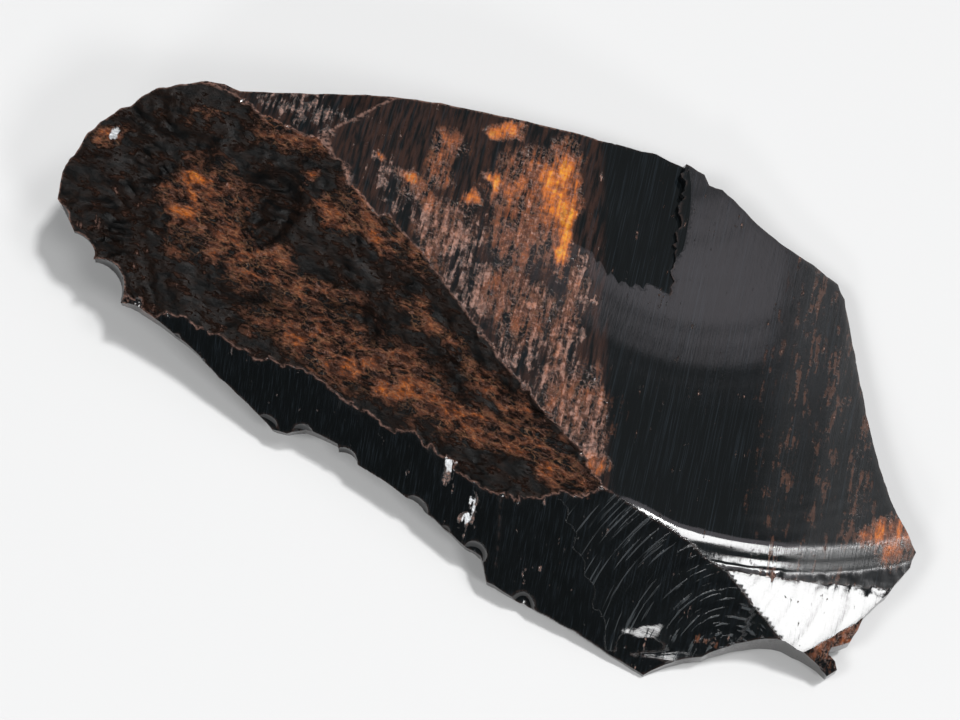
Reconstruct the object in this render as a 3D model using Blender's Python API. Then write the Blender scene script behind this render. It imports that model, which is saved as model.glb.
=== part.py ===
"""Obsidian chunk: one struck piece of mahogany obsidian.

The piece is made the way the real one was: a block of volcanic glass is
trimmed to its outline, and flakes are struck off it.  Every flake leaves a
scar, which is a hollow (conchoidal) sheet with ripples that spread from the
point where the blow fell.  The scars meet in sharp ridges.
Lengths are in millimetres here and become metres when the meshes are made.
X runs along the piece, Z is up, and the piece rests on the plane Z = 0.
"""
import math

import bmesh
import bpy
from mathutils import Matrix, Vector, noise

MM = 0.001
NAME = "obsidian_chunk"

# ---- main sizes -----------------------------------------------------------
BLOCK_HEIGHT = 24.0        # rough block, before the top flakes come off
CELL_TOP = 1.6             # mesh step on the upper scars
CELL_ROUGH = 1.35          # mesh step on the hackly mahogany face
CELL_UNDER = 2.9           # mesh step on the scars below the rim
CELL_CHIP = 2              # subdivisions of the small chip cutters
FLAKE_HEIGHT = 60.0        # how far a cutter reaches out of the stone
WELD = 0.00002             # metres, for doubled points after the cuts

# ---- corners where the main faces meet (x, y, z) --------------------------
RIDGE_TOP = (-21.0, 7.0, 19.5)
RIDGE_END = (18.3, -12.5, 14.0)
BROW_WEST = (-31.1, -13.7, 9.8)
CROWN = (-39.0, 8.4, 18.7)
TAIL_RIDGE = (40.6, -17.4, 7.0)

# ---- trimmed outline, anticlockwise from the west tip ---------------------
OUTLINE = (
    # south-west rim, scalloped by use
    (-50.0, -8.6), (-48.6, -9.5), (-46.3, -11.4), (-43.2, -13.0), (-39.9, -14.3),
    (-38.8, -15.5), (-37.0, -15.1), (-33.0, -15.7), (-29.6, -16.4), (-25.8, -17.7),
    (-21.0, -19.0), (-18.3, -19.9), (-16.6, -19.7), (-14.8, -18.6), (-10.8, -18.7),
    (-9.8, -20.0), (-7.8, -21.3), (-4.7, -20.6), (-1.3, -20.8), (1.4, -21.3),
    (3.6, -21.9), (6.6, -22.7), (8.5, -22.8), (10.2, -24.9), (14.0, -25.2),
    (21.8, -25.5), (25.2, -25.9), (29.6, -26.2),
    # lip, drawn in between the foot and the tail
    (30.9, -24.8), (32.9, -23.1), (34.5, -22.2), (36.3, -20.5), (38.0, -19.2),
    (39.6, -18.2), (40.8, -17.7), (41.8, -17.5), (43.2, -17.6), (44.6, -17.6),
    (46.1, -17.8), (47.3, -18.2), (48.0, -17.1), (47.4, -16.5), (46.5, -16.3),
    (46.4, -15.6), (47.1, -15.0),
    # east end
    (48.0, -14.1), (48.2, -12.7), (48.2, -11.1), (48.7, -9.8), (49.5, -8.0),
    (50.1, -5.5), (50.5, -4.1), (50.4, -2.3), (48.4, -0.6), (45.8, 1.6),
    (43.7, 4.1), (40.0, 9.1), (35.6, 15.9), (32.0, 21.4), (30.6, 22.7),
    # back edge
    (27.2, 23.4), (23.7, 23.7), (19.7, 24.5), (16.2, 25.8), (14.6, 26.2),
    (13.1, 25.9), (12.1, 26.8), (10.4, 26.9), (6.3, 26.7), (1.9, 25.8),
    (-1.6, 24.4), (-7.8, 22.3), (-16.8, 19.0), (-24.2, 15.5), (-30.4, 12.1),
    (-36.0, 9.1), (-37.9, 9.1), (-39.8, 8.5), (-42.2, 6.9), (-44.8, 5.1),
    (-47.3, 2.3), (-49.7, -1.2), (-50.6, -6.0),
)

# ---- the main scar: flat by the blow, then a rising cup; distances are
#      from the point of the blow -------------------------------------------
MAIN_BLOW = (9.9, 27.8, 6.8)
CUP_START = 16.0
CUP_TURN = 38.0
CUP_RISE = 0.003
# its front end rolls over; distances are from the middle of the roll's arc
ROLL_CENTRE = (24.9, 36.3)
ROLL_START = 48.7
ROLL_NEARER = 8.4          # how much nearer it starts per radian towards the east
ROLL = 0.10
ROLL_WIDTH = 3.3
# the foot of the front: a low swell, a ledge and a flat shelf below it
FOOT_MIDDLE = (27.8, -22.2)
FOOT_DOWN = (0.458, -0.889)
FOOT_FORESHORTENING = 0.757
FOOT_WIDTH = (-4.6, 5.0)

# ---- scars: corners on the sheet, hollow radius (0 = flat), blow point,
#      or one radius along and one across; ripple spacing, ripple height ----------------------------------------
TOP_SCARS = (
    ("main", (RIDGE_TOP, (18.9, -12.7, 13.7), (42.5, 6.6, 5.4)), 0.0,
     MAIN_BLOW, 5.2, 0.03),
    ("shoulder", ((-6.45, 5.25, 15.33), (13.1, 11.1, 9.5), (-3.75, 22.3, 10.5)), 0.0,
     (2.0, 27.0, 8.0), 3.7, 0.03),
    ("flute", ((3.9, 14.0, 10.85), (8.2, 16.2, 9.2), (8.3, 10.2, 10.7)), (38.0, 140.0),
     (-44.0, -10.0, 8.0), 5.2, 0.03),
    ("crown_back", (CROWN, (-21.6, 7.0, 19.4), (-18.7, 17.9, 15.4)), 0.0,
     (-26.0, 20.0, 16.0), 3.1, 0.03),
    ("tail", ((25.7, -14.4, 13.4), (49.0, -6.8, 6.9), TAIL_RIDGE), 0.0,
     (22.0, -13.0, 13.0), 2.9, 0.05),
    ("front_west", ((-29.8, -13.9, 9.6), (5.6, -16.5, 11.1), (-7.8, -21.4, 4.0)), 200.0,
     (-12.0, -26.0, 2.0), 4.3, 0.05),
    ("front_middle", ((9.0, -16.8, 11.4), (15.6, -14.2, 13.35), (21.9, -26.4, 1.33)), 0.0,
     (12.0, -28.0, 1.0), 3.3, 0.03),
    ("front_east", ((16.5, -13.4, 13.8), (40.5, -17.4, 7.0), (25.2, -26.9, 0.7)), 0.0,
     (37.4, -22.6, 3.0), 2.7, 0.08),
)
# a scar that stops short at a step: half width of its sheet, and its slide along it
STEPPED = {"shoulder": (24.0, -10.1)}
UNDER_SCARS = (
    ("west", ((-50.5, -6.8, 10.2), (-46.0, 4.0, 14.6), (-37.0, -2.0, 0.0)), 60.0,
     (-49.0, -2.0, 13.0), 4.1, 0.10),
    ("crown_under", ((-42.0, 7.0, 16.8), (-20.0, 17.6, 14.0), (-28.0, 7.0, 0.0)), 70.0,
     (-34.0, 10.0, 17.0), 4.6, 0.16),
    ("back", ((-17.0, 18.7, 12.4), (11.0, 26.6, 4.4), (0.0, 14.5, 0.0)), 200.0,
     (-6.0, 22.0, 12.5), 4.4, 0.15),
    ("back_east", ((13.0, 26.2, 4.8), (31.5, 22.0, 2.6), (20.0, 12.0, 0.0)), 48.0,
     (20.0, 25.0, 6.0), 3.9, 0.10),
    ("east", ((32.0, 21.4, 2.6), (49.0, -1.0, 4.4), (34.0, 3.0, 0.0)), 55.0,
     (43.0, 5.0, 5.0), 4.2, 0.10),
    ("south_east", ((51.4, -3.8, 4.4), (49.8, -16.8, 1.6), (37.0, -8.0, 0.0)), 60.0,
     (50.0, -10.0, 5.0), 3.7, 0.08),
    ("lip_under", ((30.0, -26.2, 0.1), (47.7, -18.2, 1.2), (35.5, -11.0, 0.0)), 75.0,
     (40.0, -17.0, 3.0), 3.1, 0.05),
    ("foot_under", ((28.4, -26.1, 0.2), (10.4, -24.8, 2.2), (20.0, -16.0, 0.0)), 40.0,
     (18.0, -26.0, 2.0), 3.4, 0.06),
    ("rim_under", ((9.0, -23.2, 3.5), (-14.8, -18.9, 3.7), (-5.0, -11.5, 0.0)), 32.0,
     (-2.0, -22.0, 4.0), 3.6, 0.08),
    ("rim_west_under", ((-17.6, -19.8, 2.8), (-38.6, -15.3, 7.2), (-24.0, -8.0, 0.0)), 38.0,
     (-28.0, -17.5, 6.0), 3.8, 0.10),
    ("tip_under", ((-40.2, -14.4, 7.8), (-49.6, -9.0, 9.4), (-35.5, -5.0, 0.0)), 40.0,
     (-46.0, -12.0, 9.0), 3.5, 0.08),
)

# ---- hackly mahogany face -------------------------------------------------
HACKLE_CORNERS = (RIDGE_TOP, RIDGE_END, BROW_WEST)
HACKLE_RADIUS = 400.0
HACKLE_LUMP = (9.0, 0.75)      # (size, height) of the broad lumps
HACKLE_LEDGE = (5.6, 1.05)     # (spacing, height) of the broken ledges
HACKLE_GRIT = (2.6, 0.22)      # (size, height) of the fine roughness
LEDGE_TURN = math.radians(-12.0)
# hollows left by lens-shaped chips: (x, y, half length, half width, depth, turn)
HACKLE_HOLLOWS = (
    (-28.2, -1.2, 3.8, 5.0, 1.25, -20.0),
    (-14.6, -8.4, 4.2, 2.6, 1.05, 12.0),
    (-40.5, 0.2, 6.0, 2.6, 0.70, 25.0),
    (1.0, -9.0, 8.0, 2.0, 0.80, -4.0),
    (-20.0, -10.6, 9.0, 2.0, 0.60, 6.0),
)

# ---- small chips struck off the rims: (x, y, z, ball radius, flattening) --
RIM_CHIPS = (
    (-19.2, -20.6, 5.4, 2.6, 0.7), (-15.3, -20.4, 6.0, 2.4, 0.8),
    (-9.6, -21.2, 5.6, 2.6, 0.8), (-5.8, -22.4, 5.2, 2.6, 0.7),
    (-0.2, -22.4, 6.2, 2.7, 0.8), (3.2, -23.3, 6.0, 2.3, 0.8),
    (7.4, -24.2, 5.8, 2.5, 0.8), (15.0, -27.0, 3.6, 3.0, 0.6),
    (13.4, 27.3, 8.3, 2.4, 0.7), (-49.9, -10.8, 12.4, 2.6, 0.8),
    (-46.4, -13.6, 9.6, 3.2, 0.9), (-41.8, -15.4, 9.6, 3.4, 0.9),
)


def clear_scene():
    """Empty the file of everything it opens with."""
    for item in list(bpy.data.objects):
        bpy.data.objects.remove(item, do_unlink=True)
    for group in list(bpy.data.collections):
        bpy.data.collections.remove(group)


def new_object(name, bm, group):
    """Turn a bmesh in millimetres into an object in metres."""
    bmesh.ops.scale(bm, vec=(MM, MM, MM), verts=bm.verts)
    mesh = bpy.data.meshes.new(name)
    bm.to_mesh(mesh)
    bm.free()
    item = bpy.data.objects.new(name, mesh)
    group.objects.link(item)
    return item


def trimmed_block():
    """The block: the outline drawn flat and pulled up to the block height."""
    bm = bmesh.new()
    ring = [bm.verts.new((x, y, 0.0)) for x, y in OUTLINE]
    face = bm.faces.new(ring)
    pulled = bmesh.ops.extrude_face_region(bm, geom=[face])
    top = [v for v in pulled["geom"] if isinstance(v, bmesh.types.BMVert)]
    bmesh.ops.translate(bm, vec=(0.0, 0.0, BLOCK_HEIGHT), verts=top)
    bmesh.ops.recalc_face_normals(bm, faces=bm.faces)
    return bm


def sheet_frame(corners, up):
    """Axes and centre of the plane through three corners, facing out."""
    a, b, c = (Vector(p) for p in corners)
    out = (b - a).cross(c - a).normalized()
    if (out.z > 0.0) != up:
        out.negate()
    along = (b - a).normalized()
    across = out.cross(along)
    centre = (a + b + c) / 3.0
    reach = sum((p - centre).length_squared for p in (a, b, c)) / 3.0
    turn = Matrix((along, across, out)).transposed().to_4x4()
    return Matrix.Translation(centre) @ turn, reach


def bowl(u, v, reach, radius):
    """Height of a hollow sheet of that radius that meets its corners."""
    if radius == 0.0:
        return 0.0
    if isinstance(radius, tuple):
        rise = u * u / (2.0 * radius[0]) + v * v / (2.0 * radius[1])
        return min(rise - reach / sum(radius), FLAKE_HEIGHT / 2.0)
    return min((u * u + v * v - reach) / (2.0 * radius), FLAKE_HEIGHT / 2.0)


def cup(point):
    """Height of the main scar's cup at a point."""
    away = (point - Vector(MAIN_BLOW)).length
    risen = min(max(away - CUP_START, 0.0), CUP_TURN - CUP_START)
    past = max(away - CUP_TURN, 0.0)
    slope = 2.0 * CUP_RISE * (CUP_TURN - CUP_START)
    return CUP_RISE * risen * risen + slope * past


def roll(point):
    """Drop of the main scar's rolled-over front end."""
    dx = point.x - ROLL_CENTRE[0]
    dy = point.y - ROLL_CENTRE[1]
    turn = math.atan2(dx, -dy)
    share = min(max((turn + 0.11) / 0.06, 0.0), 1.0) if dy < -20.0 else 0.0
    away = math.hypot(dx, dy) - ROLL_START + ROLL_NEARER * max(turn - 0.03, 0.0)
    return share * ROLL * min(max(away, 0.0), ROLL_WIDTH) ** 2


def foot(point):
    """The swell, ledge and shelf at the foot of the front."""
    dx = point.x - FOOT_MIDDLE[0]
    dy = point.y - FOOT_MIDDLE[1]
    down = (dx * FOOT_DOWN[0] + dy * FOOT_DOWN[1]) / FOOT_FORESHORTENING
    side = dy * FOOT_DOWN[0] - dx * FOOT_DOWN[1]
    share = (min(max((side - FOOT_WIDTH[0]) / 0.9, 0.0), 1.0)
             * min(max((FOOT_WIDTH[1] - side) / 0.9, 0.0), 1.0))
    swell = 0.18 * min(max(down + 0.9, 0.0), 1.6)
    drop = 0.35 * min(max((down - 1.5) / 0.5, 0.0), 1.0)
    shelf = 0.51 * max(down - 2.0 - 0.24 * side, 0.0)
    return share * (swell - drop + shelf)


def ripple(point, blow, spacing, height):
    """Rings round the point of the blow, steeper on the far side."""
    turn = 2.0 * math.pi * (point - blow).length / spacing
    return height * (math.sin(turn) + 0.35 * math.sin(2.0 * turn + 0.6))


def relief_of(name, corners, blow, spacing, height):
    """The function that gives a scar's relief at a point."""
    centre = Vector(blow)
    if name == "main":
        level = sum(cup(Vector(p)) for p in corners) / 3.0
        return lambda p: cup(p) - roll(p) - level + ripple(p, centre, spacing, height)
    if name == "front_east":
        return lambda p: foot(p) + ripple(p, centre, spacing, height)
    return lambda p: ripple(p, centre, spacing, height)


def hollow(point, x, y, length, width, depth, turn):
    """A lens-shaped dip with a steep upper lip."""
    angle = math.radians(turn)
    dx = point.x - x
    dy = point.y - y
    s = (dx * math.cos(angle) + dy * math.sin(angle)) / length
    t = (dy * math.cos(angle) - dx * math.sin(angle)) / width
    inside = 1.0 - s * s - t * t
    if inside <= 0.0:
        return 0.0
    return -depth * min(1.0, 1.8 * inside) * (0.75 + 0.25 * t)


def hackle(point):
    """Relief of the hackly face: lumps, broken ledges, grit and hollows."""
    flat = Vector((point.x, point.y, 0.0))
    lump_size, lump_height = HACKLE_LUMP
    ledge_gap, ledge_height = HACKLE_LEDGE
    grit_size, grit_height = HACKLE_GRIT
    lumps = lump_height * noise.noise(flat / lump_size + Vector((3.1, 7.4, 0.5)))
    warp = 2.4 * noise.noise(flat / 11.0 + Vector((9.2, 1.3, 4.0)))
    run = flat.y * math.cos(LEDGE_TURN) - flat.x * math.sin(LEDGE_TURN) + 2.0 * warp
    phase = (run / ledge_gap) % 1.0
    step = phase / 0.8 if phase < 0.8 else (1.0 - phase) / 0.2
    broken = 0.5 + 0.5 * noise.noise(flat / 8.0 + Vector((0.7, 5.5, 2.2)))
    ledges = ledge_height * broken * (step - 0.5)
    grit = grit_height * noise.noise(flat / grit_size + Vector((6.0, 2.0, 8.0)))
    dips = sum(hollow(point, *dip) for dip in HACKLE_HOLLOWS)
    return lumps + ledges + grit + dips


def flake(name, corners, radius, relief, cell, up, half, group):
    """A cutter whose under side is a struck sheet through three corners."""
    frame, reach = sheet_frame(corners, up)
    half, slide = STEPPED.get(name, (half, 0.0))
    steps = max(4, round(2.0 * half / cell))
    bm = bmesh.new()
    bmesh.ops.create_grid(bm, x_segments=steps, y_segments=steps, size=half)
    bmesh.ops.translate(bm, vec=(slide, 0.0, 0.0), verts=bm.verts)
    for vert in bm.verts:
        u, v = vert.co.x, vert.co.y
        place = frame @ Vector((u, v, 0.0))
        vert.co.z = bowl(u, v, reach, radius) + relief(place)
    pulled = bmesh.ops.extrude_face_region(bm, geom=list(bm.faces))
    top = [v for v in pulled["geom"] if isinstance(v, bmesh.types.BMVert)]
    for vert in top:
        vert.co.z = FLAKE_HEIGHT
    bmesh.ops.dissolve_limit(bm, angle_limit=0.001, verts=top, edges=[])
    bmesh.ops.transform(bm, matrix=frame, verts=bm.verts)
    bmesh.ops.recalc_face_normals(bm, faces=bm.faces)
    return new_object("flake_" + name, bm, group)


def chip(index, x, y, z, radius, flattening, group):
    """A small ball-shaped cutter for one chip on a rim."""
    bm = bmesh.new()
    bmesh.ops.create_icosphere(bm, subdivisions=CELL_CHIP, radius=radius)
    bmesh.ops.scale(bm, vec=(1.0, flattening, flattening), verts=bm.verts)
    bmesh.ops.rotate(bm, matrix=Matrix.Rotation(0.7 * index, 3, "Z"), verts=bm.verts)
    bmesh.ops.translate(bm, vec=(x, y, z), verts=bm.verts)
    return new_object(f"chip_{index:02d}", bm, group)


def strike(stone, cutter):
    """Take the cutter's volume off the stone."""
    cut = stone.modifiers.new(cutter.name, "BOOLEAN")
    cut.operation = "DIFFERENCE"
    cut.solver = "EXACT"
    cut.object = cutter
    graph = bpy.context.evaluated_depsgraph_get()
    mesh = bpy.data.meshes.new_from_object(stone.evaluated_get(graph))
    stone.modifiers.clear()
    old = stone.data
    stone.data = mesh
    bpy.data.meshes.remove(old)


def settle(stone):
    """Weld the cuts, and put the middle of the foot print on the origin."""
    bm = bmesh.new()
    bm.from_mesh(stone.data)
    bmesh.ops.remove_doubles(bm, verts=bm.verts, dist=WELD)
    bmesh.ops.dissolve_degenerate(bm, edges=bm.edges, dist=WELD)
    bmesh.ops.triangulate(bm, faces=bm.faces)
    bmesh.ops.recalc_face_normals(bm, faces=bm.faces)
    xs = [v.co.x for v in bm.verts]
    ys = [v.co.y for v in bm.verts]
    zs = [v.co.z for v in bm.verts]
    shift = (-(min(xs) + max(xs)) / 2.0, -(min(ys) + max(ys)) / 2.0, -min(zs))
    bmesh.ops.translate(bm, vec=shift, verts=bm.verts)
    bm.to_mesh(stone.data)
    bm.free()
    stone.data.name = NAME


def glass():
    """Black volcanic glass."""
    material = bpy.data.materials.new("obsidian")
    material.use_nodes = True
    shader = material.node_tree.nodes["Principled BSDF"]
    shader.inputs["Base Color"].default_value = (0.012, 0.010, 0.009, 1.0)
    shader.inputs["Roughness"].default_value = 0.1
    return material


def main():
    clear_scene()
    parts = bpy.data.collections.new(NAME)
    cutters = bpy.data.collections.new("cutters")
    for group in (parts, cutters):
        bpy.context.scene.collection.children.link(group)
    stone = new_object(NAME, trimmed_block(), parts)

    for name, corners, radius, blow, spacing, height in UNDER_SCARS:
        relief = relief_of(name, corners, blow, spacing, height)
        strike(stone, flake(name, corners, radius, relief, CELL_UNDER, False, 48.0, cutters))
    strike(stone, flake("mahogany", HACKLE_CORNERS, HACKLE_RADIUS, hackle,
                        CELL_ROUGH, True, 72.0, cutters))
    for name, corners, radius, blow, spacing, height in TOP_SCARS:
        relief = relief_of(name, corners, blow, spacing, height)
        strike(stone, flake(name, corners, radius, relief, CELL_TOP, True, 72.0, cutters))
    for index, sizes in enumerate(RIM_CHIPS):
        strike(stone, chip(index, *sizes, cutters))
    settle(stone)

    stone.data.materials.clear()
    stone.data.materials.append(glass())
    cutters.hide_render = True
    for cutter in cutters.objects:
        cutter.display_type = "WIRE"
        cutter.hide_render = True


main()
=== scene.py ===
import math
import random

import bmesh
import bpy
import numpy as np
from mathutils import Matrix, Vector, kdtree, noise


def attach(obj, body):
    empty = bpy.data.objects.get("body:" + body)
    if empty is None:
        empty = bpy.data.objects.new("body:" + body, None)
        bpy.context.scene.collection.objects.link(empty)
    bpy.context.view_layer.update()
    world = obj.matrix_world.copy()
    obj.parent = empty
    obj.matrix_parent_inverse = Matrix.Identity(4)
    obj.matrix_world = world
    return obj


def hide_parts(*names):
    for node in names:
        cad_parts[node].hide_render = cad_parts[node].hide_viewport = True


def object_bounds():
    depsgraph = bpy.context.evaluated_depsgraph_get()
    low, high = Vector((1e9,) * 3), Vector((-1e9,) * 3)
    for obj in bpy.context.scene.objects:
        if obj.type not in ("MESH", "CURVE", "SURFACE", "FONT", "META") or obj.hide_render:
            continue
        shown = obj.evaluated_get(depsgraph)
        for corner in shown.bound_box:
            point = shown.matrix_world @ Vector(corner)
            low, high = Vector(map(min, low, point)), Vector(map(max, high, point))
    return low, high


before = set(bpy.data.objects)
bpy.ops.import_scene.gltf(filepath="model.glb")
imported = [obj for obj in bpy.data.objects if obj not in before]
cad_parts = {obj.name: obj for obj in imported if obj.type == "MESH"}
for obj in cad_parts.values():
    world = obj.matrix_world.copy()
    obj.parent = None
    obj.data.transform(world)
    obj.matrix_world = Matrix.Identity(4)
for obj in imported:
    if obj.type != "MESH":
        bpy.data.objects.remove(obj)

bl_info = {
    "name": "Obsidian Chunk",
    "version": (1, 0, 0),
    "blender": (4, 5, 0),
    "location": "3D View > Sidebar > Obsidian",
    "description": "Strikes a chunk of mahogany obsidian and sets it on a studio floor",
    "category": "Add Mesh",
}

# The stone is made as the real one was: a trimmed block of volcanic glass
# loses one flake after another.  Each flake leaves a scar, which is a sheet
# with rings that spread from the point of the blow.  Stone sizes below are in
# millimetres, with X along the piece and the stone resting on Z = 0.
MM = 0.001
NODE = "obsidian_chunk"
CAD_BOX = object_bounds()

BLOCK_HEIGHT = 24.0
FLAKE_HEIGHT = 60.0
WIDE_STEP = 3.2            # mesh step of a sheet outside its own scar
WELD = 0.004

RIDGE_TOP = (-21.0, 7.0, 19.5)
RIDGE_END = (18.3, -12.5, 14.0)
BROW_WEST = (-31.1, -13.7, 9.8)
CROWN = (-39.0, 8.4, 18.7)
TAIL_RIDGE = (40.6, -17.4, 7.0)

OUTLINE = (
    # south-west rim
    (-50.0, -8.6), (-48.6, -9.5), (-46.3, -11.4), (-43.2, -13.0), (-39.9, -14.3),
    (-38.8, -15.5), (-37.0, -15.1), (-33.0, -15.7), (-29.6, -16.4), (-25.8, -17.7),
    (-21.0, -19.0), (-18.3, -19.9), (-16.6, -19.7), (-14.8, -18.6), (-10.8, -18.7),
    (-9.8, -20.0), (-7.8, -21.3), (-4.7, -20.6), (-1.3, -20.8), (1.4, -21.3),
    (3.6, -21.9), (6.6, -22.7), (8.5, -22.8), (10.2, -24.9), (14.0, -25.2),
    (21.8, -25.5), (25.2, -25.9), (29.6, -26.2),
    # lip between the foot and the tail
    (30.9, -24.8), (32.9, -23.1), (34.5, -22.2), (36.3, -20.5), (38.0, -19.2),
    (39.6, -18.2), (40.8, -17.7), (41.8, -17.5), (43.2, -17.6), (44.6, -17.6),
    (46.1, -17.8), (47.3, -18.2), (48.0, -17.1), (47.4, -16.5), (46.5, -16.3),
    (46.4, -15.6), (47.1, -15.0),
    # east end
    (48.0, -14.1), (48.2, -12.7), (48.2, -11.1), (48.7, -9.8), (49.5, -8.0),
    (50.1, -5.5), (50.5, -4.1), (50.4, -2.3), (48.4, -0.6), (45.8, 1.6),
    (43.7, 4.1), (40.0, 9.1), (35.6, 15.9), (32.0, 21.4), (30.6, 22.7),
    # back edge
    (27.2, 23.4), (23.7, 23.7), (19.7, 24.5), (16.2, 25.8), (14.6, 26.2),
    (13.1, 25.9), (12.1, 26.8), (10.4, 26.9), (6.3, 26.7), (1.9, 25.8),
    (-1.6, 24.4), (-7.8, 22.3), (-16.8, 19.0), (-24.2, 15.5), (-30.4, 12.1),
    (-36.0, 9.1), (-37.9, 9.1), (-39.8, 8.5), (-42.2, 6.9), (-44.8, 5.1),
    (-47.3, 2.3), (-49.7, -1.2), (-50.6, -6.0),
)
RIM_STEP = 0.9             # spacing of the points that roughen the outline
RIM_WANDER = 0.10          # how far they wander

# the main scar: flat by the blow, a rising cup, then a rolled-over end
MAIN_BLOW = (9.9, 27.8, 6.8)
CUP_START = 16.0
CUP_TURN = 38.0
CUP_RISE = 0.003
ROLL_CENTRE = (24.9, 36.3)
ROLL_START = 48.7
ROLL_NEARER = 8.4          # how much nearer it starts per radian towards the east
# (distance past the start, slope) along the roll
ROLL_SLOPES = ((0.0, 0.0), (0.5, 0.30), (1.7, 0.37), (2.0, 0.55), (2.8, 0.55), (3.2, 0.0))
# the foot of the front: a low swell, a ledge and a flat shelf below it
FOOT_MIDDLE = (27.8, -22.2)
FOOT_DOWN = (0.458, -0.889)
FOOT_FORESHORTENING = 0.757
FOOT_WIDTH = (-4.6, 5.0)
TORN_HEIGHT = 0.22         # torn glass along the tail's upper edge
TORN_REACH = 1.6
FOOT_RING = (1.55, 0.020, 36.0)   # spacing, height and first distance of the end rings

# name: corners, hollow radius (0 = flat), blow point, ring spacing, ring height
TOP_SCARS = {
    "main": ((RIDGE_TOP, (18.9, -12.7, 13.7), (42.5, 6.6, 5.4)), 0.0,
             MAIN_BLOW, 5.2, 0.012),
    "shoulder": (((-6.45, 5.25, 15.33), (13.1, 11.1, 9.5), (-3.75, 22.3, 10.5)), 0.0,
                 (2.0, 27.0, 8.0), 3.7, 0.03),
    "flute": (((3.9, 14.0, 10.85), (8.2, 16.2, 9.2), (8.3, 10.2, 10.7)), (38.0, 140.0),
              (-44.0, -10.0, 8.0), 1.3, 0.12),
    "crown_back": ((CROWN, (-21.6, 7.0, 19.4), (-18.7, 17.9, 15.4)), 0.0,
                   (-26.0, 20.0, 16.0), 3.1, 0.03),
    "tail": (((25.7, -14.4, 13.4), (49.0, -6.8, 6.9), TAIL_RIDGE), 0.0,
             (22.0, -13.0, 13.0), 2.9, 0.05),
    "front_west": (((-29.8, -13.9, 9.6), (5.6, -16.5, 11.1), (-7.8, -21.4, 4.0)), 200.0,
                   (-12.0, -26.0, 2.0), 4.3, 0.05),
    "front_middle": (((9.0, -16.8, 11.4), (15.6, -14.2, 13.35), (21.9, -26.4, 1.33)), 0.0,
                     (12.0, -28.0, 1.0), 3.3, 0.03),
    "front_east": (((16.5, -13.4, 13.8), (40.5, -17.4, 7.0), (25.2, -26.9, 0.7)), 0.0,
                   (37.4, -22.6, 3.0), 2.7, 0.08),
    "tail_chip": (((44.2, -17.2, 5.72), (48.6, -11.0, 5.85), (48.2, -16.5, 3.33)), 0.0, (47.6, -18.2, 3.0), 1.9, 0.12),
}
# a scar that stops short at a step: half width of its sheet, and its slide along it
STEPPED = {"shoulder": (24.0, -10.9)}
STEP_TEETH = (0.6, 0.6)    # spacing and reach of the teeth along that step
UNDER_SCARS = {
    "west": (((-50.5, -6.8, 10.2), (-46.0, 4.0, 14.6), (-37.0, -2.0, 0.0)), 60.0,
             (-49.0, -2.0, 13.0), 4.1, 0.10),
    "crown_under": (((-42.0, 7.0, 16.8), (-20.0, 17.6, 14.0), (-28.0, 7.0, 0.0)), 70.0,
                    (-34.0, 10.0, 17.0), 4.6, 0.16),
    "back": (((-17.0, 18.7, 12.4), (11.0, 26.6, 4.4), (0.0, 14.5, 0.0)), 200.0,
             (-6.0, 22.0, 12.5), 4.4, 0.15),
    "back_east": (((13.0, 26.2, 4.8), (31.5, 22.0, 2.6), (20.0, 12.0, 0.0)), 48.0,
                  (20.0, 25.0, 6.0), 3.9, 0.10),
    "east": (((32.0, 21.4, 2.6), (49.0, -1.0, 4.4), (34.0, 3.0, 0.0)), 55.0,
             (43.0, 5.0, 5.0), 4.2, 0.10),
    "south_east": (((51.4, -3.8, 4.4), (49.8, -16.8, 1.6), (37.0, -8.0, 0.0)), 60.0,
                   (50.0, -10.0, 5.0), 3.7, 0.08),
    "lip_under": (((30.0, -26.2, 0.1), (47.7, -18.2, 1.2), (35.5, -11.0, 0.0)), 75.0,
                  (40.0, -17.0, 3.0), 3.1, 0.05),
    "foot_under": (((28.4, -26.1, 0.2), (10.4, -24.8, 2.2), (20.0, -16.0, 0.0)), 40.0,
                   (18.0, -26.0, 2.0), 3.4, 0.06),
    "rim_under": (((9.0, -23.2, 3.5), (-14.8, -18.9, 3.7), (-5.0, -11.5, 0.0)), 32.0,
                  (-2.0, -22.0, 4.0), 3.6, 0.08),
    "rim_west_under": (((-17.6, -19.8, 2.8), (-38.6, -15.3, 7.2), (-24.0, -8.0, 0.0)), 38.0,
                       (-28.0, -17.5, 6.0), 3.8, 0.10),
    "tip_under": (((-40.2, -14.4, 7.8), (-49.6, -9.0, 9.4), (-35.5, -5.0, 0.0)), 40.0,
                  (-46.0, -12.0, 9.0), 3.5, 0.08),
}
SCAR_NUMBERS = {name: index + 1 for index, name in enumerate(
    ("mahogany", *TOP_SCARS, *UNDER_SCARS, "chips"))}

# the hackly mahogany face
HACKLE_CORNERS = (RIDGE_TOP, RIDGE_END, BROW_WEST)
HACKLE_RADIUS = 400.0
HACKLE_LUMP = (9.0, 0.75)      # size and height of the broad lumps
HACKLE_LEDGE = (5.6, 1.05)     # spacing and height of the broken ledges
HACKLE_GRIT = (2.6, 0.22)      # size and height of the rough ground
HACKLE_STEP = (1.9, 0.72)      # spacing and height of the small steps
HACKLE_GRAIN = (1.2, 0.22)     # size and height of the fine grain
LEDGE_TURN = math.radians(-12.0)
# lens-shaped hollows: x, y, half length, half width, depth, turn
HACKLE_HOLLOWS = (
    (-28.2, -1.2, 3.8, 5.0, 1.25, -20.0),
    (-14.6, -8.4, 4.2, 2.6, 1.05, 12.0),
    (-40.5, 0.2, 6.0, 2.6, 0.70, 25.0),
    (1.0, -9.0, 8.0, 2.0, 0.80, -4.0),
    (-20.0, -10.6, 9.0, 2.0, 0.60, 6.0),
)

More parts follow.
